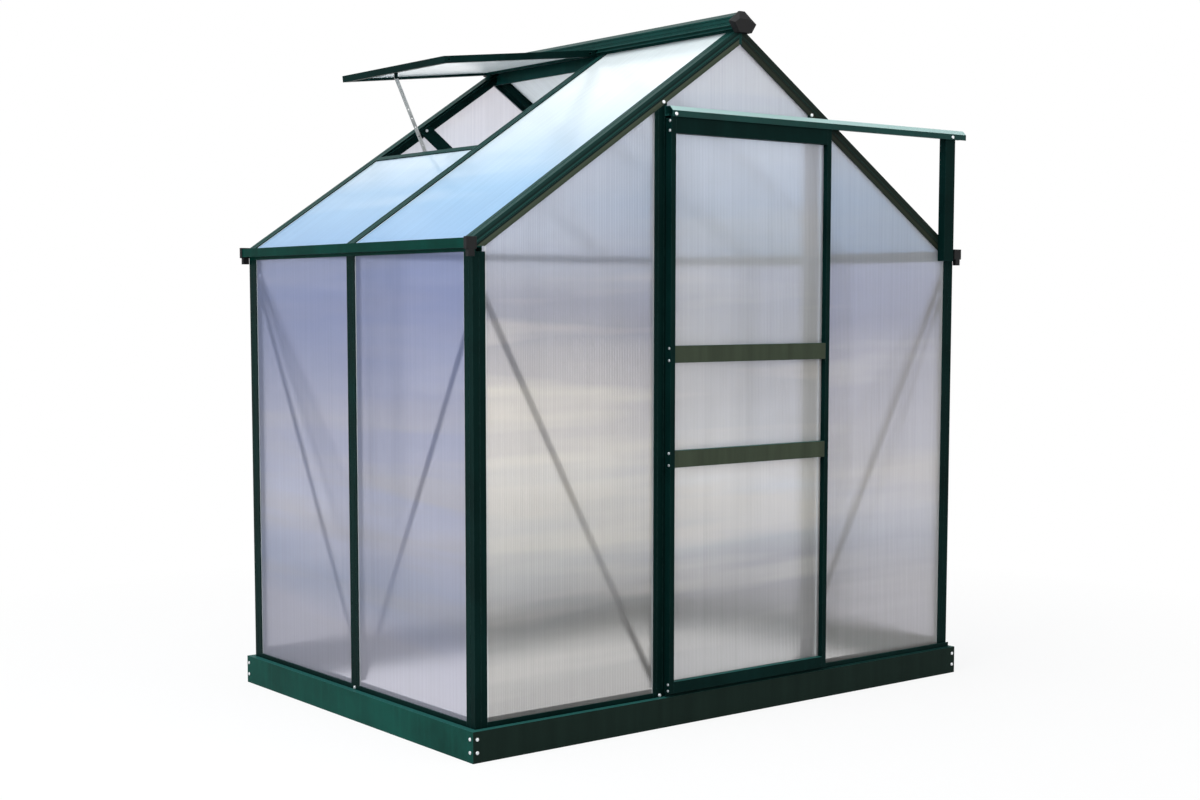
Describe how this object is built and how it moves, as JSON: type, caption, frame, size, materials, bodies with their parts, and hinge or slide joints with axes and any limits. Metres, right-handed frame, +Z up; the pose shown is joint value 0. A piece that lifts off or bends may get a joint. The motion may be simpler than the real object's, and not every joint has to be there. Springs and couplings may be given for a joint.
{
  "type": "greenhouse",
  "caption": "Walk-in garden greenhouse with a green aluminium frame, translucent twin-wall glazing, a gable sliding door and a propped roof vent on a steel base.",
  "frame": {"origin": "centre of the four ground anchor holes, on the underside of the base", "axes": "+X to the right along the front gable, +Y from the door gable to the rear, +Z up"},
  "size_m": [1.914, 1.3052, 2.0384],
  "materials": {
    "frame_green": "green powder coat on aluminium extrusions, satin",
    "base_green": "green powder coat on folded steel, satin",
    "glazing": "translucent twin-wall polycarbonate sheet",
    "cap_black": "moulded plastic, fine grain",
    "zinc": "zinc plated",
    "stay_grey": "mill finish",
    "brace_grey": "mill finish, brushed",
    "nylon": "turned nylon",
    "stop_rubber": "moulded rubber"
  },
  "bodies": {
    "house": {"base_corner_brackets": "base_green", "base_rail_front": "base_green", "base_rail_left": "base_green", "base_rail_rear": "base_green", "base_rail_right": "base_green", "base_screws": "zinc", "braces_front": "brace_grey", "braces_left": "brace_grey", "braces_rear": "brace_grey", "braces_right": "brace_grey", "corner_post_front_left": "frame_green", "corner_post_front_right": "frame_green", "corner_post_rear_left": "frame_green", "corner_post_rear_right": "frame_green", "door_bottom_guide": "frame_green", "door_post_left": "frame_green", "door_post_right": "frame_green", "door_track": "frame_green", "eave_gutter_left": "frame_green", "eave_gutter_right": "frame_green", "frame_bolts": "zinc", "gable_header": "frame_green", "gable_panels_front": "glazing", "gable_panels_rear": "glazing", "gutter_end_caps": "cap_black", "rafter_front_left": "frame_green", "rafter_front_right": "frame_green", "rafter_mid_left": "frame_green", "rafter_mid_right": "frame_green", "rafter_rear_left": "frame_green", "rafter_rear_right": "frame_green", "rear_posts": "frame_green", "ridge_beam": "frame_green", "ridge_end_caps": "cap_black", "roof_panels_left": "glazing", "roof_panels_right": "glazing", "side_post_left": "frame_green", "side_post_right": "frame_green", "sill_front": "frame_green", "sill_left": "frame_green", "sill_rear": "frame_green", "sill_right": "frame_green", "stay_peg_bracket": "stay_grey", "track_stops": "stop_rubber", "track_support": "frame_green", "vent_sill": "frame_green", "wall_panels_left": "glazing", "wall_panels_right": "glazing"},
    "vent": {"vent_top_rail": "frame_green", "vent_side_rails": "frame_green", "vent_bottom_rail": "frame_green", "vent_panel": "glazing"},
    "stay": {"vent_stay": "stay_grey"},
    "door": {"door_stiles": "frame_green", "door_rails": "frame_green", "door_panels": "glazing", "door_hangers": "zinc", "door_screws": "zinc"},
    "roller_left": {"door_roller_left": "nylon"},
    "roller_right": {"door_roller_right": "nylon"}
  },
  "joints": [
    {"name": "vent_hinge", "type": "hinge", "parent": "house", "child": "vent", "pos_m": [-0.03301, 0.30175, 1.99299], "axis": [0, 1, 0], "range_deg": [-27, 0]},
    {"name": "stay_pivot", "type": "hinge", "parent": "vent", "child": "stay", "pos_m": [-0.55072, 0.35975, 1.90842], "axis": [0, 1, 0], "range_deg": [0, 13.5]},
    {"name": "door_slide", "type": "slide", "parent": "house", "child": "door", "axis": [1, 0, 0], "range_m": [0, 0.502]},
    {"name": "roller_left_spin", "type": "hinge", "parent": "door", "child": "roller_left", "pos_m": [-0.1865, -0.6292, 1.73828], "axis": [0, 1, 0], "range_deg": [-5, 2881.25]},
    {"name": "roller_right_spin", "type": "hinge", "parent": "door", "child": "roller_right", "pos_m": [0.2535, -0.6292, 1.73828], "axis": [0, 1, 0], "range_deg": [-5, 2881.25]}
  ],
  "couplings": [
    {"joint": "stay_pivot", "follows": "vent_hinge", "ratio": -0.5},
    {"joint": "roller_left_spin", "follows": "door_slide", "rad_per_m": 100},
    {"joint": "roller_right_spin", "follows": "door_slide", "rad_per_m": 100}
  ]
}
